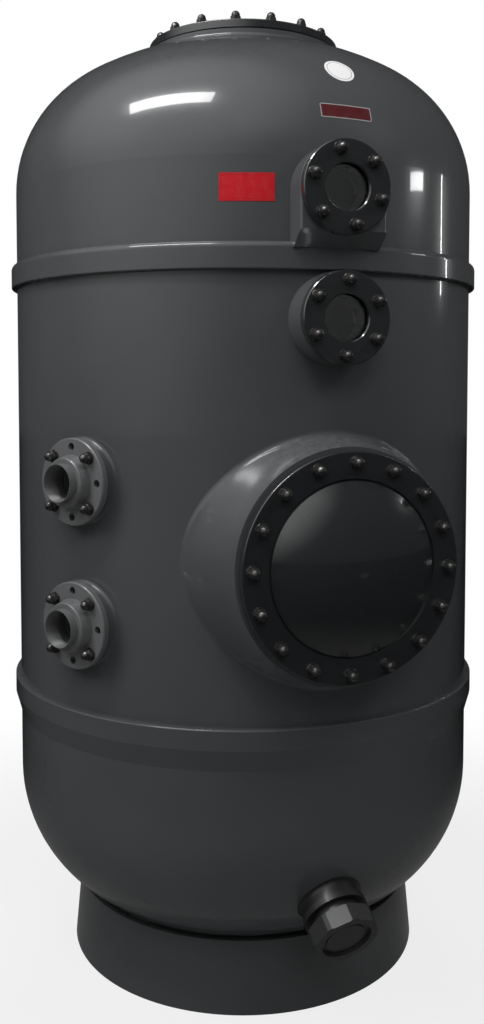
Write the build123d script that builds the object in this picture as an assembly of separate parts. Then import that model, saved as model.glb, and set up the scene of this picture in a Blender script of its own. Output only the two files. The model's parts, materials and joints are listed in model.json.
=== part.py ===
from build123d import *
from math import asin, cos, radians, sin, sqrt, tan
import os

os.makedirs("parts", exist_ok=True)

# A side-mount sand filter for a pool: a laminated vessel of three bonded shells on a skirt, with two
# manholes, two sight glasses, a flanged inlet and outlet, and a sand drain.
# Millimetres, +Z up. The origin is on the vessel's axis at the floor. -Y passes through the side manhole.
# Azimuths are in degrees from -Y, positive towards +X.

# Vessel shells
shell_radius = 600.0  # outside
shell_wall = 10.0
bond_gap = 0.3  # adhesive line between bonded pieces
straight_length = 1490.0  # between the tangent lines of the two heads
ground_clearance = 30.0  # under the lowest point of the lower head
lower_crown_ratio = 1.177  # a head's crown and knuckle radii are set as shares of the shell radius
lower_knuckle_ratio = 0.6155
upper_crown_ratio = 1.467
upper_knuckle_ratio = 0.552

# Bell collars, where the heads are bonded over the ends of the middle shell
collar_reach = 14.0  # outside the shell
collar_tangent_gap = 245.0  # from a head's tangent line to the mouth of its collar
collar_overlap = 47.0  # length of middle shell inside each collar
collar_shoulder = 14.0  # rounding of the upper collar's shoulder
collar_taper = 50.0  # length of the lower collar's run-out
collar_edge = 4.0

# Skirt
skirt_rim_radius = 445.0
skirt_flare = 16.0  # more radius at the floor than at the rim
skirt_wall = 12.0
skirt_rim_drop = 6.0  # rim below the head, measured at the inside of the wall
skirt_foot_width = 30.0
skirt_foot_height = 10.0
skirt_seat_width = 40.0
skirt_seat_gap = 14.0  # open groove between rim and seat
skirt_seat_depth = 60.0

# Manholes: the side and top ones share their lid, gasket and bolts
manhole_bore_radius = 200.0
manhole_sleeve_wall = 12.0
manhole_sleeve_reach = 5.0  # past the inside of the shell
manhole_bolt_margin = 26.0  # from the bore to the bolt circle
manhole_bolt_circle = manhole_bore_radius + manhole_bolt_margin  # radius
manhole_bolt_count = 16
manhole_bolt_turn = 1.5  # degrees
lid_rim_margin = 24.0  # from the bolt circle to the lid's rim
lid_radius = manhole_bolt_circle + lid_rim_margin
manhole_face_margin = 8.0  # of the neck's face, past the lid's rim
manhole_face_radius = lid_radius + manhole_face_margin
manhole_face_height = 80.0  # of the side neck, outside the shell
manhole_side_draft = 20.0  # degrees, where the boss runs out on the round of the shell
manhole_top_draft = 15.0  # degrees, above and below
manhole_foot_blend = 16.0
manhole_height = 609.0  # axis above the lower tangent line
top_neck_margin = 3.0
top_neck_radius = lid_radius + top_neck_margin
top_neck_height = 16.0  # above the head, measured at the neck's outside
top_neck_root_margin = 14.0  # past the bolt circle
top_neck_root_radius = manhole_bolt_circle + top_neck_root_margin  # of the ring let into the head
top_neck_root_depth = 36.0  # below the neck's face
top_neck_blend = 8.0
lid_thickness = 20.0
lid_edge = 3.0
lid_dome_inset = 13.0  # from the bore
lid_dome_radius = manhole_bore_radius - lid_dome_inset
lid_dome_height = 52.0
lid_dome_wall = 12.0
lid_groove_width = 5.0
lid_groove_depth = 4.0
gasket_thickness = 4.0
gasket_inset = 4.0  # gasket outside radius inside the bolt holes

# Fasteners
bolt_radius = 8.0
bolt_flats = 24.0
bolt_head_height = 13.0
bolt_dome_radius = 11.0
bolt_dome_foot = 2.0  # straight part under the dome
bolt_hole_radius = 9.0
thread_gap = 0.1  # radial, bolt in its insert
thread_depth = 24.0

# Air bleed on the top lid
bleed_stem_radius = 8.0
bleed_body_radius = 15.0
bleed_body_height = 11.0
bleed_screw_radius = 5.0
bleed_running_gap = 0.06
bleed_knob_radius = 13.0
bleed_knob_height = 12.0
bleed_knob_flutes = 8

# Sight glasses
sight_bore_radius = 50.0
sight_seat_width = 14.0  # of the ring that the gasket and the window sit on
sight_window_radius = sight_bore_radius + sight_seat_width
sight_opening_step = 0.5
sight_opening_radius = sight_bore_radius + sight_opening_step
sight_bolt_margin = 17.0  # from the window to the bolt circle
sight_bolt_circle = sight_window_radius + sight_bolt_margin  # radius
sight_rim_margin = 20.0
sight_radius = sight_bolt_circle + sight_rim_margin
sight_face_height = 50.0  # of both bosses, outside the shell
sight_lip = 8.0
sight_window_thickness = 8.0
sight_gasket_thickness = 2.0
sight_bolt_count = 6
sight_edge = 2.0
sight_foot_taper = 4.0  # more radius at the shell than at the face
upper_sight_drop = 75.5  # below the upper tangent line
upper_sight_turn = -13.0
lower_sight_drop = 350.0
lower_sight_turn = 3.0
pad_run_out = 34.0  # length of the ramp that lands on the collar
pad_edge = 7.0  # rounding of the upper pad's face

# Inlet and outlet ports
port_azimuth = -57.0
inlet_height = 779.0  # above the lower tangent line
outlet_height = 451.0
pipe_radius = 45.0
port_bolt_margin = 35.0  # from the pipe to the bolt circle
port_bolt_circle = pipe_radius + port_bolt_margin  # radius
port_rim_margin = 20.0
port_flange_radius = port_bolt_circle + port_rim_margin
port_flange_thickness = 15.0
port_hole_count = 8
port_bolt_count = 4
port_face_height = 17.0  # of the neck, outside the shell
port_neck_margin = 12.0
port_neck_radius = port_bolt_circle + port_neck_margin
port_neck_taper = 4.0
port_neck_blend = 10.0
port_thread_depth = 14.0
port_gasket_thickness = 3.0
port_bore_step = 2.5  # from the pipe's outside in to the thread's bore
port_bore_radius = pipe_radius - port_bore_step
port_hub_height = 26.0
port_hub_wall = 11.5  # at its face
port_hub_root_wall = 19.5
port_hub_face_radius = port_bore_radius + port_hub_wall
port_hub_root_radius = port_bore_radius + port_hub_root_wall
port_edge = 2.5

# Pipes and collector inside
pipe_wall = 4.0
pipe_bend_radius = 110.0
diffuser_drop = 40.0  # top of the riser below the upper tangent line
diffuser_mouth_radius = 150.0
diffuser_height = 90.0
diffuser_wall = 5.0
socket_depth = 35.0
socket_wall = 6.0
hub_radius = 95.0
hub_height = 110.0
hub_base_height = 150.0  # above the lowest point of the lower head
arm_count = 8
arm_radius = 25.0
arm_wall = 4.0
arm_length = 330.0  # clear of the hub

# Sand drain, square to the lower head's knuckle
drain_azimuth = 2.0
drain_slope = 30.5  # degrees below horizontal
drain_bore_radius = 50.0
drain_spigot_wall = 10.0
drain_spigot_radius = drain_bore_radius + drain_spigot_wall
drain_spigot_height = 77.0  # outside the head
drain_neck_wall = 8.0  # outside the spigot's radius
drain_neck_radius = drain_spigot_radius + drain_neck_wall
drain_neck_height = 24.0
drain_neck_blend = 12.0
drain_collar_reach = 16.0  # outside the spigot's radius
drain_collar_radius = drain_spigot_radius + drain_collar_reach
drain_collar_thickness = 14.0
drain_seal_thickness = 3.0
drain_plug_reach = 5.0  # outside the spigot's radius
drain_plug_radius = drain_spigot_radius + drain_plug_reach
drain_plug_thickness = 10.0
drain_plug_boss_inset = 4.0
drain_plug_boss_radius = drain_bore_radius - drain_plug_boss_inset
drain_plug_boss_height = 3.0
drain_nut_wall = 14.0  # from the thread to the flats
drain_nut_flats_radius = drain_spigot_radius + drain_nut_wall
drain_nut_corner = 4.0  # of the rounded corners, past the flats
drain_nut_corner_radius = drain_nut_flats_radius + drain_nut_corner
drain_nut_sides = 8
drain_nut_skirt = 20.0  # thread length round the spigot
drain_nut_lip = 9.0
drain_nut_cover = 6.0  # of the lip over the plug's edge
drain_nut_opening_radius = drain_plug_radius - drain_nut_cover
drain_nut_edge = 2.0
drain_running_gap = 0.06


class Head:
    """A dished end: a knuckle arc from the tangent line, then a crown arc to the axis."""

    def __init__(self, crown_ratio, knuckle_ratio, way):
        self.crown = crown_ratio * shell_radius
        self.knuckle = knuckle_ratio * shell_radius
        self.way = way
        across = shell_radius - self.knuckle
        drop = sqrt((self.crown - self.knuckle) ** 2 - across**2)
        self.depth = self.crown - drop
        self.lean = asin(across / (self.crown - self.knuckle))
        self.tangent = 0.0

    def knuckle_point(self, angle, offset):
        """Point at an angle above the tangent line, on the surface moved outwards by offset."""
        reach = self.knuckle + offset
        r = shell_radius - self.knuckle + reach * cos(angle)
        return (r, 0, self.tangent + self.way * reach * sin(angle))

    def crown_height(self, r, offset):
        reach = self.crown + offset
        return self.tangent + self.way * (self.depth - self.crown + sqrt(reach**2 - r**2))

    def join_radius(self, offset):
        return (self.crown + offset) * sin(self.lean)

    def height(self, r, offset=0.0):
        """Height of the surface at radius r."""
        if r < self.join_radius(offset):
            return self.crown_height(r, offset)
        across = r - (shell_radius - self.knuckle)
        return self.tangent + self.way * sqrt((self.knuckle + offset) ** 2 - across**2)

    def arcs(self, offset, end):
        """Knuckle and crown arcs from the tangent line in to the radius end."""
        corner = radians(90) - self.lean
        knuckle = ThreePointArc(
            self.knuckle_point(0, offset),
            self.knuckle_point(corner / 2, offset),
            self.knuckle_point(corner, offset),
        )
        start = self.join_radius(offset)
        middle = (start + end) / 2
        crown = ThreePointArc(
            (start, 0, self.crown_height(start, offset)),
            (middle, 0, self.crown_height(middle, offset)),
            (end, 0, self.crown_height(end, offset)),
        )
        return [knuckle, crown]


lower_head = Head(lower_crown_ratio, lower_knuckle_ratio, -1)
upper_head = Head(upper_crown_ratio, upper_knuckle_ratio, 1)
lower_head.tangent = ground_clearance + lower_head.depth
upper_head.tangent = lower_head.tangent + straight_length
lower_mouth = lower_head.tangent + collar_tangent_gap
upper_mouth = upper_head.tangent - collar_tangent_gap
tube_bottom = lower_mouth - collar_overlap
tube_top = upper_mouth + collar_overlap
sleeve_radius = manhole_bore_radius + manhole_sleeve_wall
lid_face = gasket_thickness + lid_thickness


def chain(*points):
    """Straight edges through points given as (radius, height)."""
    corners = [(r, 0, z) for r, z in points]
    return [Line(a, b) for a, b in zip(corners, corners[1:])]


def corner_arc(start, bulge, end):
    """A rounded corner between two (radius, height) points, bowed towards the corner bulge."""
    share = sqrt(0.5)
    r = start[0] + end[0] - bulge[0]
    z = start[1] + end[1] - bulge[1]
    middle = (r + (bulge[0] - r) * share, 0, z + (bulge[1] - z) * share)
    return ThreePointArc((start[0], 0, start[1]), middle, (end[0], 0, end[1]))


def turned(edges, axis=Axis.Z):
    return revolve(make_face(edges), axis)


def ring(inner, outer, low, high):
    return turned(chain((inner, low), (outer, low), (outer, high), (inner, high), (inner, low)))


def rod(radius, low, high):
    return Pos(0, 0, low) * Cylinder(radius, high - low, align=(Align.CENTER, Align.CENTER, Align.MIN))


def around(radius, count, turn=0.0):
    """Places spaced evenly on a circle, counted from the local +Y."""
    places = []
    for step in range(count):
        angle = 360.0 * step / count + 90.0 - turn
        places.append(Rot(0, 0, angle) * Pos(radius, 0, 0))
    return places


def bored(piece, tools):
    for tool in tools:
        piece = piece - tool
    return piece


def wall_plane(azimuth, height, standing=0.0):
    """Plane facing out of the straight shell, its local +Y up."""
    a = radians(azimuth)
    out = Vector(sin(a), -cos(a), 0)
    origin = out * (shell_radius + standing) + Vector(0, 0, height)
    return Plane(origin=origin, x_dir=(cos(a), sin(a), 0), z_dir=out)


def drain_plane():
    """Plane facing square out of the lower knuckle, on its surface."""
    a, s = radians(drain_azimuth), radians(drain_slope)
    point = lower_head.knuckle_point(s, 0)
    out = Vector(sin(a) * cos(s), -cos(a) * cos(s), -sin(s))
    origin = Vector(sin(a) * point[0], -cos(a) * point[0], point[2])
    return Plane(origin=origin, x_dir=(cos(a), sin(a), 0), z_dir=out)


def vessel_form():
    """The solid outside form of the vessel, without collars."""
    ends = upper_head.arcs(0, 0) + lower_head.arcs(0, 0)
    wall = Line((shell_radius, 0, lower_head.tangent), (shell_radius, 0, upper_head.tangent))
    bottom, top = ground_clearance, upper_head.tangent + upper_head.depth
    return turned(ends + [wall, Line((0, 0, bottom), (0, 0, top))])


def blended(form, seat, blend):
    """A form stood on a seat with a filleted foot, less the seat."""
    joined = seat + form
    foot = []
    for edge in joined.edges():
        points = [edge @ share for share in (0.1, 0.5, 0.9)]
        if all(form.distance_to(p) < 1e-3 and seat.distance_to(p) < 1e-3 for p in points):
            foot.append(edge)
    return fillet(foot, blend) - seat


# Holes in the shells
side_face = wall_plane(0, lower_head.tangent + manhole_height, manhole_face_height)
top_height = upper_head.height(top_neck_radius) + top_neck_height
top_face = Plane(origin=(0, 0, top_height), x_dir=(1, 0, 0), z_dir=(0, 0, 1))
inlet_face = wall_plane(port_azimuth, lower_head.tangent + inlet_height, port_face_height)
outlet_face = wall_plane(port_azimuth, lower_head.tangent + outlet_height, port_face_height)
upper_sight_face = wall_plane(0, upper_head.tangent - upper_sight_drop, sight_face_height)
lower_sight_face = wall_plane(0, upper_head.tangent - lower_sight_drop, sight_face_height)
drain_seat = drain_plane()
bore_reach = 300.0  # long enough to pass through any wall, and short of the far side
sleeve_hole = rod(sleeve_radius + bond_gap, -bore_reach, bore_reach)
port_hole = rod(pipe_radius + bond_gap, -bore_reach, bore_reach)
sight_hole = rod(sight_bore_radius, -bore_reach, bore_reach)
drain_hole = rod(drain_bore_radius, -bore_reach / 2, bore_reach)


def lower_shell():
    """Lower head with its bell collar, whose inner shoulder carries the middle shell."""
    inside, bell = shell_radius - shell_wall, shell_radius + bond_gap
    collar = shell_radius + collar_reach
    lip = lower_mouth - collar_edge
    edges = lower_head.arcs(-shell_wall, 0) + lower_head.arcs(0, 0)
    edges += chain((0, ground_clearance), (0, ground_clearance + shell_wall))
    edges += chain(
        (inside, lower_head.tangent),
        (inside, tube_bottom),
        (bell, tube_bottom),
        (bell, lower_mouth),
        (collar - collar_edge, lower_mouth),
    )
    edges.append(
        corner_arc((collar - collar_edge, lower_mouth), (collar, lower_mouth), (collar, lip))
    )
    edges += chain(
        (collar, lip),
        (collar, tube_bottom),
        (shell_radius, tube_bottom - collar_taper),
        (shell_radius, lower_head.tangent),
    )
    return turned(edges) - drain_seat * drain_hole


def middle_shell():
    """Filament-wound cylinder between the two heads."""
    tube = ring(shell_radius - shell_wall, shell_radius, tube_bottom, tube_top)
    holes = [
        side_face * sleeve_hole,
        lower_sight_face * sight_hole,
        inlet_face * port_hole,
        outlet_face * port_hole,
    ]
    return bored(tube, holes)


def upper_shell():
    """Upper head with its bell collar, open at the top manhole."""
    inside, bell = shell_radius - shell_wall, shell_radius + bond_gap
    collar = shell_radius + collar_reach
    mouth = top_neck_root_radius + bond_gap
    shoulder = upper_mouth + collar_overlap + collar_shoulder
    lip = upper_mouth + collar_edge
    edges = upper_head.arcs(-shell_wall, mouth) + upper_head.arcs(0, mouth)
    edges += chain((mouth, upper_head.height(mouth, -shell_wall)), (mouth, upper_head.height(mouth)))
    edges += chain(
        (inside, upper_head.tangent),
        (inside, tube_top),
        (bell, tube_top),
        (bell, upper_mouth),
        (collar - collar_edge, upper_mouth),
    )
    edges.append(
        corner_arc((collar - collar_edge, upper_mouth), (collar, upper_mouth), (collar, lip))
    )
    edges += chain((collar, lip), (collar, shoulder - collar_shoulder))
    edges.append(
        corner_arc(
            (collar, shoulder - collar_shoulder), (collar, shoulder), (shell_radius, shoulder)
        )
    )
    edges += chain((shell_radius, shoulder), (shell_radius, upper_head.tangent))
    return turned(edges) - upper_sight_face * sight_hole


def skirt_base():
    """Flared ring under the vessel, with a seat bonded to the lower head."""
    inner = skirt_rim_radius - skirt_wall
    rim = lower_head.height(inner) - skirt_rim_drop
    foot_inner = inner + skirt_flare
    groove = inner - skirt_seat_gap
    seat_end = inner - skirt_seat_width
    seat_low = rim - skirt_seat_depth
    above = 2 * skirt_rim_drop
    edges = chain(
        (skirt_rim_radius, rim),
        (skirt_rim_radius + skirt_flare, 0),
        (foot_inner - skirt_foot_width, 0),
        (foot_inner - skirt_foot_width, skirt_foot_height),
        (foot_inner, skirt_foot_height),
        (inner, seat_low),
        (seat_end, lower_head.height(seat_end) - skirt_foot_height),
        (seat_end, lower_head.height(seat_end) + above),
        (groove, lower_head.height(groove) + above),
        (groove, rim - skirt_seat_gap),
        (inner, rim - skirt_seat_gap),
        (inner, rim),
        (skirt_rim_radius, rim),
    )
    head = lower_head.arcs(bond_gap, 0)
    lid = lower_head.tangent
    bottom = ground_clearance - bond_gap
    head += chain((0, bottom), (0, lid), (shell_radius + bond_gap, lid))
    return turned(edges) - turned(head)


def manhole_gasket():
    outer = manhole_bolt_circle - bolt_hole_radius - gasket_inset
    return ring(manhole_bore_radius, outer, 0, gasket_thickness)


def manhole_bolt_holes(radius, low, high):
    places = around(manhole_bolt_circle, manhole_bolt_count, manhole_bolt_turn)
    return [place * rod(radius, low, high) for place in places]


def cap_point(base, rise, r, low):
    """Point at radius r on a spherical cap over a base radius, standing on the height low."""
    sphere = (base**2 + rise**2) / (2 * rise)
    return (r, 0, low + rise - sphere + sqrt(sphere**2 - r**2))


def manhole_lid():
    """Domed lid with a groove at the foot of the dome, on the gasket's face."""
    low, high = gasket_thickness, lid_face
    groove = lid_dome_radius + lid_groove_width
    crown = lid_dome_height
    hollow_radius = lid_dome_radius - lid_dome_wall / 2
    hollow_rise = lid_thickness + lid_dome_height - lid_dome_wall
    edges = [
        ThreePointArc(
            cap_point(lid_dome_radius, crown, 0, high),
            cap_point(lid_dome_radius, crown, lid_dome_radius / 2, high),
            cap_point(lid_dome_radius, crown, lid_dome_radius, high),
        )
    ]
    edges += chain(
        (lid_dome_radius, high),
        (lid_dome_radius, high - lid_groove_depth),
        (groove, high - lid_groove_depth),
        (groove, high),
        (lid_radius - lid_edge, high),
    )
    edges.append(
        corner_arc((lid_radius - lid_edge, high), (lid_radius, high), (lid_radius, high - lid_edge))
    )
    edges += chain((lid_radius, high - lid_edge), (lid_radius, low), (hollow_radius, low))
    edges.append(
        ThreePointArc(
            cap_point(hollow_radius, hollow_rise, hollow_radius, low),
            cap_point(hollow_radius, hollow_rise, hollow_radius / 2, low),
            cap_point(hollow_radius, hollow_rise, 0, low),
        )
    )
    edges += chain((0, low + hollow_rise), (0, high + crown))
    return bored(turned(edges), manhole_bolt_holes(bolt_hole_radius, 0, 2 * lid_face))


def bolt(grip, depth):
    """Domed hexagon bolt under whose head z is 0, with its shank down through grip and depth."""
    hexagon = RegularPolygon(bolt_flats / 2, 6, major_radius=False)
    low, spring = bolt_head_height, bolt_head_height + bolt_dome_foot
    dome = chain((0, spring + bolt_dome_radius), (0, low), (bolt_dome_radius, low), (bolt_dome_radius, spring))
    dome.append(
        corner_arc(
            (bolt_dome_radius, spring),
            (bolt_dome_radius, spring + bolt_dome_radius),
            (0, spring + bolt_dome_radius),
        )
    )
    return extrude(hexagon, bolt_head_height) + turned(dome) + rod(bolt_radius, -grip - depth, 0)


def bolts_at(plane, height, places, grip, depth=thread_depth):
    piece = bolt(grip, depth)
    return [plane * Pos(0, 0, height) * place * piece for place in places]


def manhole_bolts(plane):
    places = around(manhole_bolt_circle, manhole_bolt_count, manhole_bolt_turn)
    return bolts_at(plane, lid_face, places, lid_face)


def insert_holes(places, depth=thread_depth):
    """Blind holes down from a face, for threaded inserts."""
    hole = rod(bolt_radius + thread_gap, -depth, 1)
    return [place * hole for place in places]


def side_manhole_neck():
    """Drafted laminated boss, wider at the sides than above, with a sleeve through the shell."""
    length = manhole_face_height + shell_radius / 2
    across = manhole_face_radius + length * tan(radians(manhole_side_draft))
    upright = manhole_face_radius + length * tan(radians(manhole_top_draft))
    foot = Pos(0, 0, -length) * Ellipse(across, upright)
    cone = loft([foot.face(), Circle(manhole_face_radius).face()])
    boss = blended(side_face * cone, vessel_form(), manhole_foot_blend)
    inside = shell_radius - shell_wall
    sleeve_end = sqrt(inside**2 - sleeve_radius**2) - manhole_sleeve_reach
    depth = shell_radius + manhole_face_height - sleeve_end
    neck = boss + side_face * rod(sleeve_radius, -depth, 0)
    throat = rod(manhole_bore_radius, -bore_reach, bore_reach)
    places = around(manhole_bolt_circle, manhole_bolt_count, manhole_bolt_turn)
    return bored(neck, [side_face * tool for tool in [throat] + insert_holes(places)])


def top_manhole_neck():
    """Low upstand on the upper head, with a thick ring let through it that holds the bolts."""
    drop = shell_radius / 2
    boss = blended(top_face * rod(top_neck_radius, -drop, 0), vessel_form(), top_neck_blend)
    neck = boss + top_face * rod(top_neck_root_radius, -top_neck_root_depth, 0)
    throat = rod(manhole_bore_radius, -bore_reach, bore_reach)
    seat = rod(top_neck_radius, 0, bore_reach)
    places = around(manhole_bolt_circle, manhole_bolt_count, manhole_bolt_turn)
    return bored(neck, [top_face * tool for tool in [throat, seat] + insert_holes(places)])


def air_bleed_body():
    """Hexagon plug screwed through the crown of the top lid."""
    crown = lid_face + lid_dome_height
    hexagon = RegularPolygon(bleed_body_radius, 6, major_radius=False)
    head = Pos(0, 0, crown) * extrude(hexagon, bleed_body_height)
    stem = rod(bleed_stem_radius, crown - lid_dome_wall, crown)
    return head + stem - rod(bleed_screw_radius + bleed_running_gap, 0, 2 * crown)


def air_bleed_screw():
    """Fluted knob on a plain stem that turns in the bleed body."""
    base = lid_face + lid_dome_height + bleed_body_height + bond_gap
    knob = rod(bleed_knob_radius, base, base + bleed_knob_height)
    flute = rod(bleed_knob_radius / 5, base - 1, base + bleed_knob_height + 1)
    knob = bored(knob, [place * flute for place in around(bleed_knob_radius, bleed_knob_flutes)])
    stem_low = lid_face + lid_dome_height - lid_dome_wall
    return knob + rod(bleed_screw_radius, stem_low, base)


def sight_boss_form(root):
    """Tapered round boss, from the sight glass face down to a root depth."""
    wide = sight_radius + sight_foot_taper
    return turned(chain((0, 0), (sight_radius, 0), (wide, -root), (0, -root), (0, 0)))


def lower_sight_boss():
    form = lower_sight_face * sight_boss_form(sight_face_height + shell_wall)
    boss = form - vessel_form()
    places = around(sight_bolt_circle, sight_bolt_count, lower_sight_turn)
    holes = [lower_sight_face * tool for tool in insert_holes(places)]
    return bored(boss, [lower_sight_face * sight_hole] + holes)


def upper_sight_pad():
    """Arched pad with a rounded face, whose foot slopes down on to the collar."""
    depth = sight_face_height + shell_radius / 4
    collar = shell_radius + collar_reach
    landing = upper_mouth + collar_overlap
    drop = upper_head.tangent - upper_sight_drop - landing
    outline = Circle(sight_radius) + Pos(0, -drop / 2) * Rectangle(2 * sight_radius, drop)
    form = extrude(outline, -depth)
    front = [edge for edge in form.edges() if edge.center().Z > -bond_gap and edge.center().Y > 1 - drop]
    form = fillet(front, pad_edge)
    slope = Polyline(
        (0, -drop + pad_run_out, 0.0),
        (0, -drop, -sight_face_height + collar_reach),
        (0, -drop - 1, 1),
        (0, -drop + pad_run_out, 1),
        (0, -drop + pad_run_out, 0.0),
    )
    ramp = extrude(make_face(slope), sight_radius + 1, both=True)
    shoulder = chain((0, landing + collar_shoulder), (0, upper_mouth), (collar, upper_mouth), (collar, landing))
    shoulder.append(
        corner_arc(
            (collar, landing), (collar, landing + collar_shoulder), (shell_radius, landing + collar_shoulder)
        )
    )
    shoulder += chain((shell_radius, landing + collar_shoulder), (0, landing + collar_shoulder))
    pad = bored(upper_sight_face * (form - ramp), [vessel_form(), turned(shoulder)])
    places = around(sight_bolt_circle, sight_bolt_count, upper_sight_turn)
    holes = [upper_sight_face * tool for tool in insert_holes(places)]
    return bored(pad, [upper_sight_face * sight_hole] + holes)


def sight_gasket():
    return ring(sight_bore_radius, sight_window_radius, 0, sight_gasket_thickness)


def sight_window():
    low = sight_gasket_thickness
    return rod(sight_window_radius, low, low + sight_window_thickness)


def sight_flange(turn):
    """Ring that clamps the window, with a recess behind for window and gasket."""
    recess = sight_gasket_thickness + sight_window_thickness
    high = recess + sight_lip
    edges = chain(
        (sight_window_radius + bond_gap, 0),
        (sight_radius, 0),
        (sight_radius, high - sight_edge),
        (sight_radius - sight_edge, high),
        (sight_opening_radius + sight_edge, high),
        (sight_opening_radius, high - sight_edge),
        (sight_opening_radius, recess),
        (sight_window_radius + bond_gap, recess),
        (sight_window_radius + bond_gap, 0),
    )
    places = around(sight_bolt_circle, sight_bolt_count, turn)
    holes = [place * rod(bolt_hole_radius, -1, 2 * high) for place in places]
    return bored(turned(edges), holes)


def sight_bolts(plane, turn):
    grip = sight_gasket_thickness + sight_window_thickness + sight_lip
    places = around(sight_bolt_circle, sight_bolt_count, turn)
    return bolts_at(plane, grip, places, grip)


def port_bolt_places():
    half_step = 180.0 / port_bolt_count
    return around(port_bolt_circle, port_bolt_count, half_step)


def port_neck(face):
    """Tapered laminated neck, bored for the pipe that is bonded in it."""
    root = port_face_height + shell_wall
    wide = port_neck_radius + port_neck_taper
    form = turned(chain((0, 0), (port_neck_radius, 0), (wide, -root), (0, -root), (0, 0)))
    neck = blended(face * form, vessel_form(), port_neck_blend)
    holes = insert_holes(port_bolt_places(), port_thread_depth)
    return bored(neck, [face * tool for tool in [port_hole] + holes])


def port_gasket():
    """Full-face gasket with holes for the four bolts."""
    plain = ring(pipe_radius + bond_gap, port_neck_radius, 0, port_gasket_thickness)
    hole = rod(bolt_hole_radius, -1, 2 * port_gasket_thickness)
    return bored(plain, [place * hole for place in port_bolt_places()])


def port_flange():
    """Flange adaptor with a coned hub, bored for a 3 inch threaded pipe."""
    low = port_gasket_thickness
    high = low + port_flange_thickness
    top = high + port_hub_height
    edges = chain(
        (port_bore_radius, low),
        (port_flange_radius, low),
        (port_flange_radius, high - port_edge),
        (port_flange_radius - port_edge, high),
        (port_hub_root_radius, high),
        (port_hub_face_radius + port_edge, top - port_edge),
        (port_hub_face_radius, top),
        (port_bore_radius, top),
        (port_bore_radius, low),
    )
    places = around(port_bolt_circle, port_hole_count)
    return bored(turned(edges), [place * rod(bolt_hole_radius, 0, top) for place in places])


def port_bolts(face):
    grip = port_gasket_thickness + port_flange_thickness
    return bolts_at(face, grip, port_bolt_places(), grip, port_thread_depth)


def bent_pipe(face, turn_height, end_height):
    """Pipe from a neck's face in to the vessel's axis, then up or down to an end height."""
    start = face.origin
    path = FilletPolyline(
        start, Vector(0, 0, turn_height), Vector(0, 0, end_height), radius=pipe_bend_radius
    )
    across = Plane(origin=start, z_dir=face.z_dir * -1)
    section = Circle(pipe_radius) - Circle(pipe_radius - pipe_wall)
    return sweep(across * section, path)


riser_top = upper_head.tangent - diffuser_drop
hub_low = ground_clearance + hub_base_height
hub_top = hub_low + hub_height
arm_height = hub_low + hub_height / 3


def inlet_pipe():
    return bent_pipe(inlet_face, inlet_face.origin.Z, riser_top)


def outlet_pipe():
    return bent_pipe(outlet_face, outlet_face.origin.Z, hub_top - socket_depth)


def diffuser():
    """Open bowl on top of the riser, which turns the incoming water up and outwards."""
    socket = pipe_radius + bond_gap
    outer = socket + socket_wall
    low = riser_top - socket_depth
    throat = pipe_radius - pipe_wall
    return turned(
        chain(
            (socket, low),
            (outer, low),
            (outer, riser_top),
            (diffuser_mouth_radius, riser_top + diffuser_height),
            (diffuser_mouth_radius - diffuser_wall, riser_top + diffuser_height),
            (throat, riser_top + diffuser_wall),
            (throat, riser_top),
            (socket, riser_top),
            (socket, low),
        )
    )


def arm_places():
    """Planes on the vessel's axis at the arms' height, each facing out along an arm."""
    for step in range(arm_count):
        a = radians(360.0 * (step + 0.5) / arm_count)
        yield Plane(origin=(0, 0, arm_height), x_dir=(0, 0, 1), z_dir=(cos(a), sin(a), 0))


def collector_hub():
    """Hollow drum with a socket on top for the outlet pipe and a socket for each arm."""
    drum = rod(hub_radius, hub_low, hub_top)
    hollow = rod(hub_radius - 3 * socket_wall, hub_low + socket_wall, hub_top - socket_depth - socket_wall)
    socket = rod(pipe_radius + bond_gap, hub_top - socket_depth, hub_top + 1)
    passage = rod(pipe_radius - pipe_wall, hub_low + socket_wall, hub_top)
    sockets = [place * rod(arm_radius + bond_gap, hub_radius / 2, 2 * hub_radius) for place in arm_places()]
    return bored(drum, [hollow, socket, passage] + sockets)


def collector_arm():
    """Lateral with a blind rounded end, its root at the hub's inside wall."""
    root = hub_radius - 3 * socket_wall
    end = hub_radius + arm_length
    bore = arm_radius - arm_wall
    edges = chain((bore, root), (arm_radius, root), (arm_radius, end - arm_radius))
    edges.append(
        corner_arc((arm_radius, end - arm_radius), (arm_radius, end), (0, end))
    )
    edges += chain((0, end), (0, end - arm_radius), (bore, end - arm_radius), (bore, root))
    return turned(edges)


def drain_neck():
    """Laminated neck with a collar and a threaded spigot."""
    root = 2 * shell_wall
    collar_low = drain_neck_height
    form = turned(
        chain(
            (0, collar_low),
            (drain_neck_radius, collar_low),
            (drain_neck_radius, -root),
            (0, -root),
            (0, collar_low),
        )
    )
    foot = blended(drain_seat * form, vessel_form(), drain_neck_blend)
    collar = rod(drain_collar_radius, collar_low, collar_low + drain_collar_thickness)
    spigot = rod(drain_spigot_radius, collar_low, drain_spigot_height)
    neck = foot + drain_seat * (collar + spigot)
    return neck - drain_seat * drain_hole


def drain_seal():
    low = drain_spigot_height
    return ring(drain_bore_radius, drain_spigot_radius, low, low + drain_seal_thickness)


def drain_plug():
    """Disc held on the seal by the union nut."""
    low = drain_spigot_height + drain_seal_thickness
    high = low + drain_plug_thickness
    disc = rod(drain_plug_radius, low, high)
    return disc + rod(drain_plug_boss_radius, high, high + drain_plug_boss_height)


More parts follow.
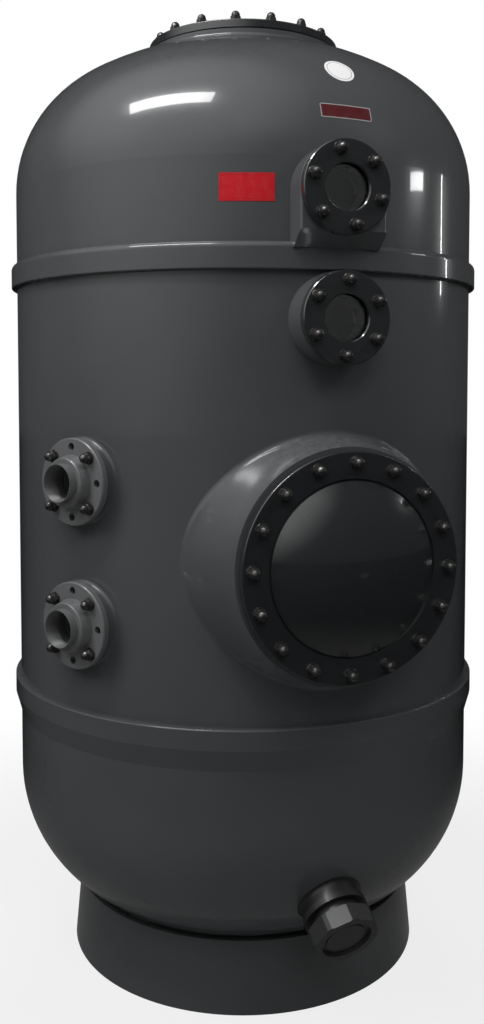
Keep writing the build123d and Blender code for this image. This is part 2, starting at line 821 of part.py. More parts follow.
def drain_nut():
    """Union nut: an eight-sided ring with an inner lip over the plug."""
    low = drain_spigot_height - drain_nut_skirt
    cavity = drain_spigot_height
    lip = drain_spigot_height + drain_seal_thickness + drain_plug_thickness
    high = lip + drain_nut_lip
    edges = chain(
        (drain_spigot_radius + drain_running_gap, low),
        (drain_nut_corner_radius - drain_nut_edge, low),
        (drain_nut_corner_radius, low + drain_nut_edge),
        (drain_nut_corner_radius, high - drain_nut_edge),
        (drain_nut_corner_radius - drain_nut_edge, high),
        (drain_nut_opening_radius, high),
        (drain_nut_opening_radius, lip),
        (drain_plug_radius + bond_gap, lip),
        (drain_plug_radius + bond_gap, cavity),
        (drain_spigot_radius + drain_running_gap, cavity),
        (drain_spigot_radius + drain_running_gap, low),
    )
    flats = RegularPolygon(drain_nut_flats_radius, drain_nut_sides, major_radius=False)
    prism = Pos(0, 0, low - 1) * extrude(flats, high - low + 2)
    return turned(edges) & prism


def save(node, *solids):
    pieces = []
    for solid in solids:
        pieces += solid.solids()
    shape = pieces[0] if len(pieces) == 1 else Compound(pieces)
    export_step(shape, f"parts/{node}.step")


save("skirt_base", skirt_base())
save("lower_shell", lower_shell())
save("middle_shell", middle_shell())
save("upper_shell", upper_shell())

lid = manhole_lid()
save("side_manhole_neck", side_manhole_neck())
save("side_manhole_gasket", side_face * manhole_gasket())
save("side_manhole_lid", side_face * lid)
save("side_manhole_bolts", *manhole_bolts(side_face))

bleed_hole = rod(bleed_stem_radius + thread_gap, 0, 2 * (lid_face + lid_dome_height))
save("top_manhole_neck", top_manhole_neck())
save("top_manhole_gasket", top_face * manhole_gasket())
save("top_manhole_lid", top_face * (lid - bleed_hole))
save("top_manhole_bolts", *manhole_bolts(top_face))
save("air_bleed_body", top_face * air_bleed_body())
save("air_bleed_screw", top_face * air_bleed_screw())

save("upper_sight_pad", upper_sight_pad())
save("lower_sight_boss", lower_sight_boss())
sights = (("upper", upper_sight_face, upper_sight_turn), ("lower", lower_sight_face, lower_sight_turn))
for name, face, turn in sights:
    save(name + "_sight_gasket", face * sight_gasket())
    save(name + "_sight_window", face * sight_window())
    save(name + "_sight_flange", face * sight_flange(turn))
    save(name + "_sight_bolts", *sight_bolts(face, turn))

for name, face in (("inlet", inlet_face), ("outlet", outlet_face)):
    save(name + "_neck", port_neck(face))
    save(name + "_gasket", face * port_gasket())
    save(name + "_flange", face * port_flange())
    save(name + "_bolts", *port_bolts(face))

save("inlet_pipe", inlet_pipe())
save("diffuser", diffuser())
save("outlet_pipe", outlet_pipe())
save("collector_hub", collector_hub())
arm = collector_arm()
save("collector_arms", *[place * arm for place in arm_places()])

save("drain_neck", drain_neck())
save("drain_seal", drain_seat * drain_seal())
save("drain_plug", drain_seat * drain_plug())
save("drain_nut", drain_seat * drain_nut())
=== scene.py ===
import json
from math import cos, pi, radians, sin, tan, tau

import bmesh
import bpy
from mathutils import Matrix, Vector


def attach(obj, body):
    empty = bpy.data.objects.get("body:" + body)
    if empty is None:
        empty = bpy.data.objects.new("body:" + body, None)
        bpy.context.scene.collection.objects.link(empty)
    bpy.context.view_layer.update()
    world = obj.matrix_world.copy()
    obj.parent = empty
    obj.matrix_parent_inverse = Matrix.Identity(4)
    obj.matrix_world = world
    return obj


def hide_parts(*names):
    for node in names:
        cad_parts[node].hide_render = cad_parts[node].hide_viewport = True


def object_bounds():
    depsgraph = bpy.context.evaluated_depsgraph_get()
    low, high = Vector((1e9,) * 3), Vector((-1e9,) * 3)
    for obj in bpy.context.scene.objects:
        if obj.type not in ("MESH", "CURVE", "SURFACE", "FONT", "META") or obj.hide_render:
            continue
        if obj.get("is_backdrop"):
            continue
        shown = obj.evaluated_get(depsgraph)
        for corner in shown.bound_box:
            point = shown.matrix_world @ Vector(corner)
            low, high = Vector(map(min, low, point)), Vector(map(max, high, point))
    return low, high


# A tall sand filter for a pool, in metres, +Z up, with -Y out through the side manhole.
# Azimuths are counted from -Y, positive towards +X.
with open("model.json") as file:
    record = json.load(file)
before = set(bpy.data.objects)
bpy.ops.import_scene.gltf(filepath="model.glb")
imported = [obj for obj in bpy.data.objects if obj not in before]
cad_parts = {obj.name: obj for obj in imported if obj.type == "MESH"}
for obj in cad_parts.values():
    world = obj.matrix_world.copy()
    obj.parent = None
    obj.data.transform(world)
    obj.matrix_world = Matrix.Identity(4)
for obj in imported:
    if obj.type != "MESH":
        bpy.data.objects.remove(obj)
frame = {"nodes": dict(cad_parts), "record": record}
cad_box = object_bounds()
nodes = frame["nodes"]
mounts = {mount["name"]: mount for mount in frame["record"]["mounts"]}

# The photograph's camera
picture_width = 484
picture_height = 1024
focal_pixels = 1034.8
sight_column = 243.0
sight_row = 441.7
sensor_size = 36.0
camera_distance = 2.832
camera_height = 1.485
camera_azimuth = radians(-19.4)
camera_pitch = radians(3.05)

# Fasteners
washer_radius = 0.015
washer_thickness = 0.002
washer_edge = 0.0004
bolt_radius = 0.008
bolt_head_height = 0.026
nut_flats = 0.024
cap_radius = 0.0108
cap_nut_shoulder = 0.0125
cap_spring = 0.0152  # height at which the cap's dome starts
nut_chamfer_share = 0.96  # the chamfer's circle, as a share of half the flats
cap_rings = 9
thread_pitch = 0.002
thread_depth = 0.0009
plain_share = 0.3  # unthreaded part of a shank
shank_rise = 0.001  # how far a shank runs into its nut
washer_steps = 40
nut_steps = 48
shank_steps = 16
shank_rings = 4  # rings to a turn of its thread

# Pipe threads in the two ports, 11 to the inch
port_pitch = 0.0254 / 11
port_thread_depth = 0.0011
sleeve_back = 0.0008
sleeve_inner_gap = 0.001
sleeve_outer_gap = 0.0015
sleeve_steps = 64
sleeve_rings = 6

# The shells: where the heads start, and the upper head's knuckle
shell_radius = 0.6
knuckle_radius = 0.3312
head_tangent = 1.98068
lower_tangent = 0.49
bare_radius = 0.5995  # laminate shows only within it

# The winding's bands on the cylinder
band_width = 0.021
band_sway = 9.0

# Slots across the collector arms, by distance from the middle
slot_spacing = 0.005
slot_width = 0.0009
slots_start = 0.12
slots_end = 0.395

# The side manhole's boss, from its face back to the shell
flare_face = -0.68
flare_start = 0.002
flare_length = 0.15
flare_rise = 0.036

# Stickers' faces above and their backs within the head's skin
sticker_lift = 0.0006
sticker_back = 0.0002


def along(azimuth, elevation=0.0):
    """Unit vector that points away from the vessel."""
    return Vector(
        (sin(azimuth) * cos(elevation), -cos(azimuth) * cos(elevation), sin(elevation))
    )


class Shade:
    """A shader socket. Python's operators on it add the Math nodes they stand for."""

    def __init__(self, finish, socket):
        self.finish = finish
        self.socket = socket

    def math(self, operation, *values):
        sockets = dict(enumerate(values))
        return self.finish.node("Math", {"operation": operation}, sockets)

    def __add__(self, other):
        return self.math("ADD", self, other)

    def __radd__(self, other):
        return self.math("ADD", other, self)

    def __sub__(self, other):
        return self.math("SUBTRACT", self, other)

    def __rsub__(self, other):
        return self.math("SUBTRACT", other, self)

    def __mul__(self, other):
        return self.math("MULTIPLY", self, other)

    def __rmul__(self, other):
        return self.math("MULTIPLY", other, self)

    def __pow__(self, other):
        return self.math("POWER", self, other)

    def __mod__(self, other):
        return self.math("FLOORED_MODULO", self, other)

    def __gt__(self, other):
        return self.math("GREATER_THAN", self, other)

    def __lt__(self, other):
        return self.math("LESS_THAN", self, other)

    def sine(self):
        return self.math("SINE", self)

    def between(self, low, high):
        """0 below low, 1 above high, and smooth from one to the other."""
        settings = {"interpolation_type": "SMOOTHSTEP"}
        sockets = {"Value": self, "From Min": low, "From Max": high}
        return self.finish.node("MapRange", settings, sockets, "Result")


class Finish:
    """The node tree of a material or the world."""

    def __init__(self, owner):
        owner.use_nodes = True
        self.owner = owner
        self.tree = owner.node_tree
        self.tree.nodes.clear()

    def node(self, kind, settings, sockets, output=0):
        """Add a node with its settings, then the values or links of its sockets."""
        made = self.tree.nodes.new("ShaderNode" + kind)
        for name, value in settings.items():
            setattr(made, name, value)
        for key, value in sockets.items():
            if isinstance(value, Shade):
                self.tree.links.new(value.socket, made.inputs[key])
            else:
                made.inputs[key].default_value = value
        return Shade(self, made.outputs[output] if made.outputs else None)

    def place(self):
        """Position in the row frame, which moves with the body."""
        return self.node("TexCoord", {}, {}, "Object")

    def parts(self, vector):
        """X, Y and Z of a vector."""
        return [self.node("SeparateXYZ", {}, {0: vector}, axis) for axis in "XYZ"]

    def scaled(self, vector, *scale):
        return self.node("VectorMath", {"operation": "MULTIPLY"}, {0: vector, 1: scale})

    def noise(self, vector, scale, detail=2.0, roughness=0.5):
        sockets = {"Vector": vector, "Scale": scale, "Detail": detail, "Roughness": roughness}
        return self.node("TexNoise", {}, sockets)

    def cells(self, vector, scale):
        """Distance from the middle of the nearest cell."""
        return self.node("TexVoronoi", {}, {"Vector": vector, "Scale": scale}, "Distance")

    def mixed(self, share, first, second):
        """Colour between two colours."""
        return self.node("Mix", {"data_type": "RGBA"}, {0: share, 6: first, 7: second}, 2)

    def bump(self, height, normal=None):
        """Normals of a relief, whose height is in metres."""
        sockets = {"Height": height, "Distance": 1.0}
        if normal is not None:
            sockets["Normal"] = normal
        return self.node("Bump", {}, sockets)

    def soft_edges(self, radius):
        """Normals that round the edges over a radius."""
        return self.node("Bevel", {"samples": 4}, {"Radius": radius})

    def surface(self, **sockets):
        """End a material with one Principled shader, whose sockets are written with underscores."""
        named = {name.replace("_", " "): value for name, value in sockets.items()}
        shader = self.node("BsdfPrincipled", {}, named)
        self.node("OutputMaterial", {}, {"Surface": shader})
        return self.owner


def grey(level, warmth=0.0):
    """A linear colour near grey, a little warmer or colder."""
    return (level * (1 + warmth), level, level * (1 - warmth), 1.0)


def new_finish(name):
    return Finish(bpy.data.materials.new(name))


def upward(finish):
    """How far a surface faces up, from -1 to 1."""
    normal = finish.node("NewGeometry", {}, {}, "Normal")
    return finish.parts(normal)[2]


def facing_in(finish, place):
    """1 on the inside of a shell round the vessel's middle, 0 on its outside."""
    normal = finish.node("NewGeometry", {}, {}, "Normal")
    middle = (0.0, 0.0, (head_tangent + lower_tangent) / 2)
    outward = finish.node("VectorMath", {"operation": "SUBTRACT"}, {0: place, 1: middle})
    facing = finish.node(
        "VectorMath", {"operation": "DOT_PRODUCT"}, {0: normal, 1: outward}, "Value"
    )
    x, y = finish.parts(place)[:2]
    return (facing < 0.0) * ((x * x + y * y) ** 0.5 < bare_radius)


def gelcoat(name, hollow=False, wound=False, flared=False, tone=1.0):
    """Glossy dark grey gelcoat, whose colour the tone scales. A hollow piece shows bare laminate
    inside, a wound one its bands, and a flared one is swept hollow towards its foot, with heavy
    pale dust on its upward faces that is partly painted light."""
    finish = new_finish(name)
    place = finish.place()
    cloud = finish.noise(place, scale=1.7, detail=3.0)
    rubbed = finish.noise(finish.scaled(place, 1.0, 1.0, 0.35), scale=9.0, detail=5.0, roughness=0.62)
    settled = finish.noise(place, scale=55.0, detail=4.0, roughness=0.7)
    dust = upward(finish).between(0.45, 0.98) * settled.between(0.35, 0.8)
    dark, pale = grey(0.061 * tone, -0.05), grey(0.071 * tone, -0.04)
    colour = finish.mixed(cloud.between(0.3, 0.7), dark, pale)
    # On the flared boss the pale dust is much heavier: partly real dust, partly painted light on its
    # upward faces
    dust_and_top_light_share = 0.4 if flared else 0.08
    colour = finish.mixed(dust * dust_and_top_light_share, colour, grey(0.17, -0.02))
    rough = 0.2 + 0.08 * rubbed.between(0.4, 0.8) + 0.05 * dust
    coat = 0.65 - 0.14 * rubbed.between(0.45, 0.85) - 0.1 * dust
    peel = finish.noise(place, scale=95.0, detail=2.0)
    wave = finish.noise(place, scale=5.5, detail=1.0)
    relief = peel * 0.00005 + wave * 0.0006
    if wound:
        height = finish.parts(place)[2]
        sway = finish.noise(place, scale=3.0, detail=1.0)
        band = (height * (tau / band_width) + sway * band_sway).sine()
        relief = relief + band * 0.000012
    if flared:
        depth = finish.parts(place)[1] - flare_face
        sweep = depth.between(0.0, flare_length)
        relief = relief + flare_rise * sweep * (depth > flare_start)
    if hollow:
        inside = facing_in(finish, place)
        strand = finish.noise(finish.scaled(place, 1.0, 1.0, 7.0), scale=60.0, detail=4.0, roughness=0.7)
        tuft = finish.cells(place, 90.0)
        laminate = finish.mixed(strand, (0.13, 0.125, 0.085, 1.0), (0.26, 0.25, 0.19, 1.0))
        colour = finish.mixed(inside, colour, laminate)
        rough = rough + inside * (0.25 + 0.2 * strand)
        coat = coat * (1.0 - inside)
        relief = relief + inside * (strand * 0.0006 + tuft * 0.0004)
    return finish.surface(
        Base_Color=colour,
        Roughness=rough,
        Specular_IOR_Level=0.25,
        Coat_Weight=coat,
        Coat_Roughness=0.04,
        Normal=finish.bump(relief),
    )


def lid_moulding():
    """Glossy black moulding with fine scuffs."""
    finish = new_finish("lid_black")
    place = finish.place()
    scuff = finish.noise(finish.scaled(place, 1.0, 1.0, 3.0), scale=34.0, detail=6.0, roughness=0.75)
    dust = finish.noise(place, scale=160.0, detail=3.0, roughness=0.8)
    peel = finish.noise(place, scale=130.0, detail=2.0)
    wave = finish.noise(place, scale=7.0, detail=1.0)
    specks = dust.between(0.62, 0.82)
    colour = finish.mixed(specks * 0.3, grey(0.022, -0.06), grey(0.04, -0.03))
    return finish.surface(
        Base_Color=colour,
        Roughness=0.2 + 0.16 * scuff.between(0.5, 0.8) + 0.1 * specks,
        Coat_Weight=0.95 - 0.4 * specks,
        Coat_Roughness=0.05,
        Coat_IOR=1.75,
        Normal=finish.bump(peel * 0.00004 + wave * 0.0004, finish.soft_edges(0.0012)),
    )


def satin_moulding(name, level, rough, coat):
    """Satin moulded fitting, finely grained, with paler rubbed places."""
    finish = new_finish(name)
    place = finish.place()
    grain = finish.noise(place, scale=420.0, detail=2.0)
    rubbed = finish.noise(place, scale=38.0, detail=5.0, roughness=0.7)
    wear = rubbed.between(0.56, 0.78)
    colour = finish.mixed(wear * 0.35, grey(level, -0.02), grey(level * 1.6))
    return finish.surface(
        Base_Color=colour,
        Roughness=rough + 0.15 * wear,
        Coat_Weight=coat * (1.0 - wear),
        Coat_Roughness=0.12,
        Normal=finish.bump(grain * 0.00003 + rubbed * 0.0001, finish.soft_edges(0.001)),
    )


def pipe_plastic():
    """Grey pressure pipe with faint draw lines."""
    finish = new_finish("pipe_grey")
    place = finish.place()
    drawn = finish.noise(finish.scaled(place, 1.0, 1.0, 0.05), scale=300.0, detail=2.0)
    cloud = finish.noise(place, scale=6.0, detail=3.0)
    return finish.surface(
        Base_Color=finish.mixed(cloud, grey(0.15, -0.02), grey(0.19, -0.02)),
        Roughness=0.34 + 0.14 * drawn,
        Normal=finish.bump(drawn * 0.00004),
    )


def slotted_plastic():
    """The collector arms' pipe, with the narrow slots that let the water in, drawn uncut as dark lines
    of painted shade.
    """
    finish = new_finish("arm_grey")
    place = finish.place()
    x, y = finish.parts(place)[:2]
    out = (x * x + y * y) ** 0.5
    shaded_slot = (out % slot_spacing < slot_width) * (out > slots_start) * (out < slots_end)
    cloud = finish.noise(place, scale=12.0, detail=3.0)
    plain = finish.mixed(cloud, grey(0.16, -0.02), grey(0.2, -0.02))
    return finish.surface(
        # The slots' near-black is painted shade inside the uncut openings
        Base_Color=finish.mixed(shaded_slot, plain, grey(0.012)),
        Roughness=0.4 + 0.3 * shaded_slot,
        Normal=finish.bump(0.0 - shaded_slot * 0.0008),
    )


def rubber():
    """Matt black rubber with a pale bloom."""
    finish = new_finish("rubber")
    place = finish.place()
    grain = finish.noise(place, scale=380.0, detail=3.0)
    bloom = finish.noise(place, scale=22.0, detail=4.0, roughness=0.7)
    return finish.surface(
        Base_Color=finish.mixed(bloom.between(0.45, 0.8) * 0.5, grey(0.009), grey(0.03)),
        Roughness=0.72 + 0.15 * bloom,
        Normal=finish.bump(grain * 0.0001),
    )


def dark_steel():
    """Dark coated steel whose small dents glint."""
    finish = new_finish("bolt_steel")
    place = finish.place()
    dent = finish.noise(place, scale=320.0, detail=3.0, roughness=0.6)
    worn = finish.noise(place, scale=90.0, detail=5.0, roughness=0.7)
    wear = worn.between(0.5, 0.72)
    return finish.surface(
        Base_Color=finish.mixed(wear, grey(0.075, 0.02), grey(0.32, 0.03)),
        Metallic=0.75 + 0.25 * wear,
        Roughness=0.16 + 0.2 * worn,
        Normal=finish.bump(dent * 0.0005),
    )


def acrylic():
    """Clear window, a little hazed by water."""
    finish = new_finish("window")
    place = finish.place()
    haze = finish.noise(place, scale=30.0, detail=4.0, roughness=0.6)
    fine = finish.noise(place, scale=240.0, detail=2.0)
    return finish.surface(
        Base_Color=finish.mixed(haze, grey(0.5, -0.02), grey(0.62, -0.02)),
        Roughness=0.03 + 0.08 * haze.between(0.5, 0.8),
        IOR=1.49,
        Transmission_Weight=1.0,
        Normal=finish.bump(fine * 0.00001),
    )


def printed_film(name, inner, line, line_start, line_width):
    """Printed film with one plain line round it, at a distance in from its edge."""
    finish = new_finish(name)
    place = finish.place()
    rim = finish.node("Attribute", {"attribute_name": "rim"}, {}, "Fac")
    ring = (rim > line_start) * (rim < line_start + line_width)
    cloud = finish.noise(place, scale=60.0, detail=4.0, roughness=0.7)
    faded = finish.mixed(cloud.between(0.4, 0.8) * 0.06, inner, grey(0.3))
    grain = finish.noise(place, scale=500.0, detail=2.0)
    return finish.surface(
        Base_Color=finish.mixed(ring, faded, line),
        Roughness=0.3 + 0.2 * cloud,
        Specular_IOR_Level=0.3,
        Normal=finish.bump(grain * 0.00004),
    )


def at(value, angle):
    """A value, or what a function gives at an angle."""
    return value(angle) if callable(value) else value


def turned(mesh, rings, place, steps, closed=False):
    """Add a skin through rings about the local +Z. A ring's radius and height may be functions."""
    rows = []
    for radius, height in rings:
        row = []
        for step in range(1 if radius == 0 else steps):
            angle = tau * step / steps
            r, h = at(radius, angle), at(height, angle)
            row.append(mesh.verts.new(place @ Vector((r * cos(angle), r * sin(angle), h))))
        rows.append(row)
    if closed:
        rows.append(rows[0])
    for lower, upper in zip(rows, rows[1:]):
        for step in range(steps):
            after = (step + 1) % steps
            corners = [
                lower[step % len(lower)],
                lower[after % len(lower)],
                upper[after % len(upper)],
                upper[step % len(upper)],
            ]
            mesh.faces.new(list(dict.fromkeys(corners)))


def piece(name, mesh, finish, body, crease=35.0):
    """Make an object of a mesh, smooth but for edges sharper than crease, and let it ride."""
    bmesh.ops.recalc_face_normals(mesh, faces=mesh.faces)
    data = bpy.data.meshes.new(name)
    mesh.to_mesh(data)
    mesh.free()
    data.shade_smooth()
    data.set_sharp_from_angle(angle=radians(crease))
    data.materials.append(finish)
    made = bpy.data.objects.new(name, data)
    bpy.context.scene.collection.objects.link(made)
    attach(made, body)
    return made


def thread_rings(crest, depth, low, high, pitch, rings_per_turn):
    """Rings of a screw thread whose crest is at a radius. A negative depth is an inside thread."""
    count = round((high - low) / pitch * rings_per_turn)
    rings = []
    for index in range(count + 1):
        height = low + (high - low) * index / count

        def radius(angle, turn=height / pitch):
            share = (turn - angle / tau) % 1.0
            return crest - depth * abs(2 * share - 1)

        rings.append((radius, height))
    return rings


def washer(mesh, place):
    """Flat washer with broken edges."""
    low, high = 0.0, washer_thickness
    rings = [
        (bolt_radius, low),
        (washer_radius - washer_edge, low),
        (washer_radius, low + washer_edge),
        (washer_radius, high - washer_edge),
        (washer_radius - washer_edge, high),
        (bolt_radius, high),
    ]
    turned(mesh, rings, place, washer_steps, closed=True)


def hexagon_rings(flats, low, high):
    """Rings of a hexagon with its corners chamfered at the top."""
    corner = tau / 6
    inner = flats / 2
    circle = inner * nut_chamfer_share

    def side(angle):
        return inner / cos(angle % corner - corner / 2)

    def shoulder(angle):
        return high - (side(angle) - circle) * tan(radians(30))

    return [(0, low), (side, low), (side, shoulder), (circle, high)]


def cap_nut(mesh, place):
    """Hexagon nut closed by a dome."""
    rings = hexagon_rings(nut_flats, washer_thickness, cap_nut_shoulder)
    rings.append((cap_radius, cap_nut_shoulder))
    rise = bolt_head_height - cap_spring
    for step in range(cap_rings):
        lean = pi / 2 * step / cap_rings
        rings.append((cap_radius * cos(lean), cap_spring + rise * sin(lean)))
    rings.append((0, bolt_head_height))
    turned(mesh, rings, place, nut_steps)


def shank(mesh, place, length, plain):
    """Bolt's shank, threaded below its plain part."""
    thread = thread_rings(bolt_radius, thread_depth, -length, -plain, thread_pitch, shank_rings)
    rings = [(0, -length)] + thread + [(bolt_radius, shank_rise), (0, shank_rise)]
    turned(mesh, rings, place, shank_steps)


def bolt_places(node, out):
    """A place for each bolt of a node, its +Z out of the bolt's seat."""
    highest = max(vertex.co.dot(out) for vertex in nodes[node].data.vertices)
    groups = []
    for vertex in nodes[node].data.vertices:
        flat = vertex.co - out * vertex.co.dot(out)
        near = [group for group in groups if (group[0] - flat).length < 2 * nut_flats]
        if near:
            near[0].append(flat)
        else:
            groups.append([flat])
    turn = out.to_track_quat("Z", "Y").to_matrix().to_4x4()
    for group in groups:
        low = Vector([min(corner[axis] for corner in group) for axis in range(3)])
        high = Vector([max(corner[axis] for corner in group) for axis in range(3)])
        seat = (low + high) / 2 + out * (highest - bolt_head_height)
        yield Matrix.Translation(seat) @ turn


def dress_bolts(node, out, body, name):
    """Put detailed nuts, washers and shanks in the place of a node's plain bolts."""
    reach = [vertex.co.dot(out) for vertex in nodes[node].data.vertices]
    length = max(reach) - min(reach) - bolt_head_height
    nuts, washers = bmesh.new(), bmesh.new()
    for place in bolt_places(node, out):
        cap_nut(nuts, place)
        shank(nuts, place, length, length * plain_share)
        washer(washers, place)
    made = piece(name, nuts, finishes["bolt_steel"], body)
    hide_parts(node)
    piece(name + "_washers", washers, finishes["bolt_steel"], body)


def port_thread(name):
    """Thread in a port's bore: a sleeve whose back is hidden in the wall."""
    mount = mounts[name + "_thread"]
    turn = Vector(mount["axis"]).to_track_quat("Z", "Y").to_matrix().to_4x4()
    place = Matrix.Translation(mount["pos_m"]) @ turn
    radius = mount["dims"]["r_mm"] / 1000
    half = mount["dims"]["length_mm"] / 2000
    low, high = sleeve_inner_gap - half, half - sleeve_outer_gap
    crest = radius - port_thread_depth
    thread = thread_rings(crest, -port_thread_depth, low, high, port_pitch, sleeve_rings)
    back = radius + sleeve_back
    mesh = bmesh.new()
    turned(mesh, [(back, low)] + thread + [(back, high)], place, sleeve_steps, closed=True)
    piece(name + "_thread_turns", mesh, finishes["port_grey"], "vessel")


def on_head(azimuth, arc, lift):
    """Point on the upper head, by azimuth and by arc above its tangent line."""
    lean = max(arc, 0.0) / knuckle_radius
    reach = knuckle_radius + lift
    radius = shell_radius - knuckle_radius + reach * cos(lean)
    height = head_tangent + min(arc, 0.0) + reach * sin(lean)
    return Vector((sin(azimuth) * radius, -cos(azimuth) * radius, height))


def film(name, rows, azimuth, arc, finish):
    """Thin film on the upper head. Rows hold (across, up, distance in from the edge) points."""
    mesh = bmesh.new()
    rim = mesh.verts.layers.float.new("rim")
    skins = []
    for lift in (sticker_lift, sticker_back):
        skin = []
        for row in rows:
            line = []
            for across, rise, inset in row:
                turn = azimuth + across / on_head(0.0, arc + rise, 0.0).xy.length
                vertex = mesh.verts.new(on_head(turn, arc + rise, lift))
                vertex[rim] = inset
                line.append(vertex)
            skin.append(line)
        skins.append(skin)
        for first, second in zip(skin, skin[1:]):
            for a in range(len(first) - 1):
                corners = [first[a], first[a + 1], second[a + 1], second[a]]
                mesh.faces.new(corners)
    bmesh.ops.remove_doubles(mesh, verts=mesh.verts, dist=1e-6)
    open_edges = [edge for edge in mesh.edges if edge.is_boundary]
    bmesh.ops.bridge_loops(mesh, edges=open_edges)
    piece(name, mesh, finish, "vessel", crease=60.0)


def rectangle_rows(width, height, columns, lines):
    """Rows of points over a rectangle, as a film takes them."""
    rows = []
    for line in range(lines + 1):
        rise = height * (line / lines - 0.5)
        row = []
        for column in range(columns + 1):
            across = width * (column / columns - 0.5)
            inset = min(width / 2 - abs(across), height / 2 - abs(rise))
            row.append((across, rise, inset))
        rows.append(row)
    return rows


def round_rows(radius, rings, steps):
    """Rings of points over a disc, from its edge to its middle."""
    rows = []
    for ring in range(rings + 1):
        share = 1.0 - ring / rings
        row = []
        for step in range(steps + 1):
            angle = tau * step / steps
            reach = radius * share
            row.append((reach * cos(angle), reach * sin(angle), radius - reach))
        rows.append(row)
    return rows


finishes = {
    "gelcoat": gelcoat("gelcoat"),
    "gelcoat_shell": gelcoat("gelcoat_shell", hollow=True),
    "gelcoat_wound": gelcoat("gelcoat_wound", hollow=True, wound=True),
    "gelcoat_boss": gelcoat("gelcoat_boss", flared=True),
    # The skirt's gelcoat is a darker copy of the same gelcoat: painted shade on the lowest part
    "gelcoat_skirt_shaded": gelcoat("gelcoat_skirt_shaded", tone=0.8),
    "lid_black": lid_moulding(),
    "port_grey": satin_moulding("port_grey", level=0.115, rough=0.36, coat=0.2),
    "union_black": satin_moulding("union_black", level=0.026, rough=0.36, coat=0.12),
    # The drain neck's near-black is partly the black union part and partly painted shade over its
    # gelcoat fairing
    "neck_black_and_shade": satin_moulding("neck_black_and_shade", level=0.015, rough=0.42, coat=0.08),
    "pipe_grey": pipe_plastic(),
    "arm_grey": slotted_plastic(),
    "rubber": rubber(),
    "bolt_steel": dark_steel(),
    "window": acrylic(),
}

# CAD nodes take the finish of their slot, apart from these
own_finish = {
    "lower_shell": "gelcoat_shell",
    "upper_shell": "gelcoat_shell",
    "middle_shell": "gelcoat_wound",
    "collector_arms": "arm_grey",
    # partly black union part, partly painted shade on the gelcoat fairing
    "drain_neck": "neck_black_and_shade",
    # darker copy of the gelcoat, painted shade
    "skirt_base": "gelcoat_skirt_shaded",
    "side_manhole_neck": "gelcoat_boss",
}
for subpart in frame["record"]["subparts"]:
    node = subpart["node"]
    data = nodes[node].data
    data.materials.clear()
    data.materials.append(finishes[own_finish.get(node, subpart["material_slot"])])

# Fasteners
side_out = along(0.0)
up = Vector((0, 0, 1))
port_out = Vector(mounts["inlet_thread"]["axis"])
dress_bolts("side_manhole_bolts", side_out, "side_lid", "side_manhole_nuts")
dress_bolts("top_manhole_bolts", up, "top_lid", "top_manhole_nuts")
dress_bolts("upper_sight_bolts", side_out, "vessel", "upper_sight_nuts")
dress_bolts("lower_sight_bolts", side_out, "vessel", "lower_sight_nuts")
dress_bolts("inlet_bolts", port_out, "vessel", "inlet_nuts")
dress_bolts("outlet_bolts", port_out, "vessel", "outlet_nuts")

port_thread("inlet")
port_thread("outlet")

# Plain stickers on the upper head
dark_red = (0.075, 0.009, 0.011, 1.0)
red = (0.5, 0.01, 0.016, 1.0)
deep_red = (0.36, 0.008, 0.011, 1.0)
round_film = printed_film("white_film", grey(0.78), grey(0.12), line_start=0.0055, line_width=0.0012)
plate_film = printed_film("dark_red_film", dark_red, grey(0.3), line_start=0.0, line_width=0.0022)
red_film = printed_film("red_film", red, deep_red, line_start=0.004, line_width=0.001)
round_grid = round_rows(radius=0.036, rings=14, steps=64)
plate_grid = rectangle_rows(width=0.125, height=0.034, columns=36, lines=12)
red_grid = rectangle_rows(width=0.12, height=0.06, columns=30, lines=12)
film("round_sticker", round_grid, azimuth=radians(4.8), arc=0.2266, finish=round_film)
film("plate_sticker", plate_grid, azimuth=radians(3.4), arc=0.1045, finish=plate_film)
film("red_sticker", red_grid, azimuth=radians(-18.6), arc=-0.07, finish=red_film)


def lamp(name, middle, target, run, length, width, power, mirrored=True):
    """Rectangular soft lamp whose long side runs along a direction and which faces a target."""
    data = bpy.data.lights.new(name, "AREA")
    data.shape = "RECTANGLE"
    data.size = length
    data.size_y = width
    data.energy = power
    made = bpy.data.objects.new(name, data)
    back = (Vector(middle) - Vector(target)).normalized()
    side = (Vector(run) - back * Vector(run).dot(back)).normalized()
    turn = Matrix((side, back.cross(side), back)).transposed().to_4x4()
    made.matrix_world = Matrix.Translation(middle) @ turn
    made.visible_camera = False
    made.visible_glossy = mirrored
    bpy.context.scene.collection.objects.link(made)


# Each lamp's middle, what it faces, the way its long side runs, length, width and watts
lamp("left_window", (-1.9, -1.0, 4.5), (0, 0, 1.6), (1.22, -1.33, 0.42), 1.9, 0.5, 62)
lamp("left_fill", (-4.1, -0.8, 4.2), (0, 0, 0.9), (0.2, -1, 0), 2.0, 2.0, 90, mirrored=False)
lamp("front_fill", (-0.6, -4.3, 4.9), (0, 0, 1.0), (1, -0.15, 0), 2.4, 2.0, 62, mirrored=False)
lamp("right_fill", (1.7, -1.7, 3.2), (0.3, -0.3, 2.1), (0.6, 1, 0), 0.8, 0.8, 18, mirrored=False)
lamp("back_fill", (1.3, 4.5, 4.4), (0, 0, 1.0), (1, -0.3, 0), 2.4, 2.0, 105, mirrored=False)
lamp("right_lamp", (3.03, -1.44, 2.52), (0.2, -0.5, 1.95), (0.3, 0.9, 0), 0.5, 0.09, 3)
lamp("right_strip", (3.2, -0.35, 2.25), (0.3, -0.5, 1.8), (0, 0, 1), 0.6, 0.03, 2)


# The floor, whose shadow fades between two distances from the middle
floor_radius = 30.0
shadow_white = 0.8
shadow_near = 0.8
shadow_far = 2.2

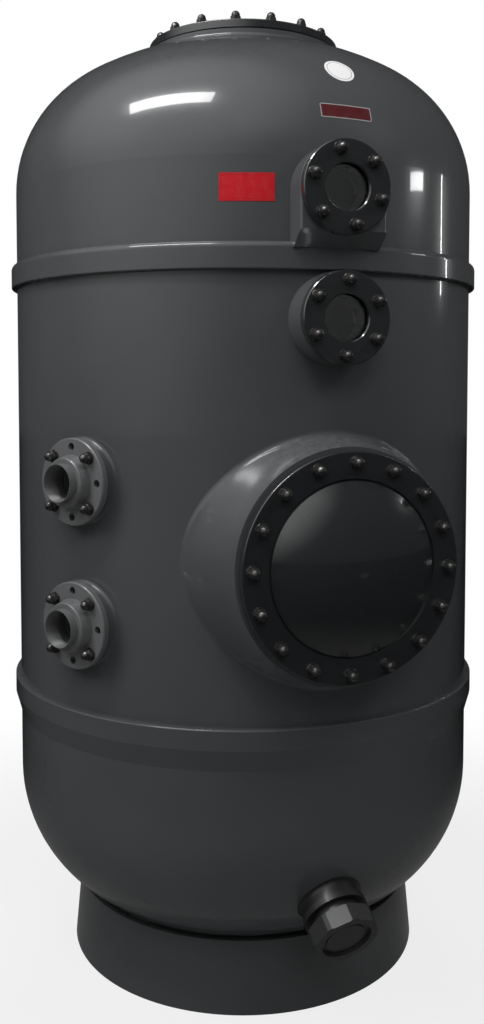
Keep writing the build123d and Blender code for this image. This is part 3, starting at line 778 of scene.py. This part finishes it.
# The room in mirrors: dark, a little paler on the floor close by, and pale high on the left
mirror_floor = 0.1
mirror_near = 0.6
mirror_far = 1.9
mirror_room = 0.03
mirror_pale = 1.0
pale_way = along(radians(-66.0), radians(48.0))

# The room's light on the object, at the right, added at the left and added from above
room_right = 0.04
room_left = 0.21
room_above = 0.13


def light_path(finish):
    """Whether a ray comes from the camera, a mirror or through glass."""
    kinds = ("Is Camera Ray", "Is Glossy Ray", "Is Transmission Ray")
    return [finish.node("LightPath", {}, {}, kind) for kind in kinds]


def floor_finish():
    """Pale floor, white further out. Mirrors show only the part near the object."""
    finish = new_finish("floor")
    x, y = finish.parts(finish.place())[:2]
    out = (x * x + y * y) ** 0.5
    seen, mirrored, through = light_path(finish)
    fade = mirrored * out.between(mirror_near, mirror_far)
    colour = finish.mixed(fade, grey(1.0), grey(0.0))
    strength = seen + through + mirrored * mirror_floor
    white = finish.node("Emission", {}, {"Color": colour, "Strength": strength})
    lit = finish.node("BsdfDiffuse", {}, {"Color": grey(0.42)})
    whitened = shadow_white + (1.0 - shadow_white) * out.between(shadow_near, shadow_far)
    share = (seen + through) * whitened + mirrored
    mixed = finish.node("MixShader", {}, {0: share, 1: lit, 2: white})
    finish.node("OutputMaterial", {}, {"Surface": mixed})
    return finish.owner


floor_mesh = bmesh.new()
bmesh.ops.create_circle(floor_mesh, cap_ends=True, segments=96, radius=floor_radius)
floor_data = bpy.data.meshes.new("floor")
floor_mesh.to_mesh(floor_data)
floor_mesh.free()
floor_data.materials.append(floor_finish())
floor = bpy.data.objects.new("floor", floor_data)
bpy.context.scene.collection.objects.link(floor)
floor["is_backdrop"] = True

# The room, white to the camera and through glass
world = bpy.data.worlds.new("studio")
bpy.context.scene.world = world
room = Finish(world)
way = room.node("TexCoord", {}, {}, "Generated")
right, _, height = room.parts(way)
toward = room.node("VectorMath", {"operation": "DOT_PRODUCT"}, {0: way, 1: tuple(pale_way)}, "Value")
seen, mirrored, through = light_path(room)
mirror_level = mirror_room + (mirror_pale - mirror_room) * toward.between(0.5, 0.95)
leftward = 0.0 - right
level = room_right + room_left * leftward.between(-0.8, 0.8) + room_above * height.between(0.0, 0.9)
on_object = 1.0 - seen - mirrored - through
strength = seen + through + mirrored * mirror_level + on_object * level
background = room.node("Background", {}, {"Color": grey(1.0), "Strength": strength})
room.node("OutputWorld", {}, {"Surface": background})

camera_data = bpy.data.cameras.new("camera")
camera_data.sensor_width = sensor_size
camera_data.lens = sensor_size * focal_pixels / picture_height
camera_data.shift_x = (picture_width / 2 - sight_column) / picture_height
camera_data.shift_y = (sight_row - picture_height / 2) / picture_height
camera = bpy.data.objects.new("camera", camera_data)
camera.location = along(camera_azimuth) * camera_distance + up * camera_height
gaze = -along(camera_azimuth, camera_pitch)
camera.rotation_mode = "QUATERNION"
camera.rotation_quaternion = gaze.to_track_quat("-Z", "Y")
bpy.context.scene.collection.objects.link(camera)
bpy.context.scene.camera = camera
bpy.context.scene.view_settings.view_transform = "Standard"

sizes = {"cad": cad_box, "visual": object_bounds()}
{name: [list(corner) for corner in box] for name, box in sizes.items()}
